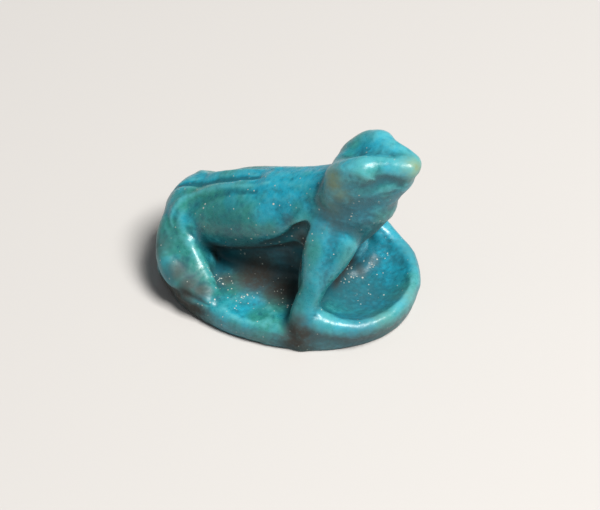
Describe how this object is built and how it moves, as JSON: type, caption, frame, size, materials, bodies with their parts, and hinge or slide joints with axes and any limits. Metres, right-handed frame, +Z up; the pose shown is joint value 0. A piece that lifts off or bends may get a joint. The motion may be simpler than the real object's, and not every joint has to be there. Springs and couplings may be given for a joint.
{
  "type": "frog scaraboid amulet",
  "caption": "Tiny glazed faience frog crouching on an oval plate, moulded in one piece, with a lengthwise hole for a string.",
  "frame": {"origin": "middle of the oval plate's flat underside, in plan the middle of the piece's box", "axes": "+X towards the frog's snout, +Y towards the frog's left side, +Z up"},
  "size_m": [0.0071, 0.0054, 0.0055],
  "materials": {
    "faience": "glossy, worn and dusty in its hollows"
  },
  "bodies": {
    "root": {"frog_scaraboid": "faience"}
  },
  "joints": []
}
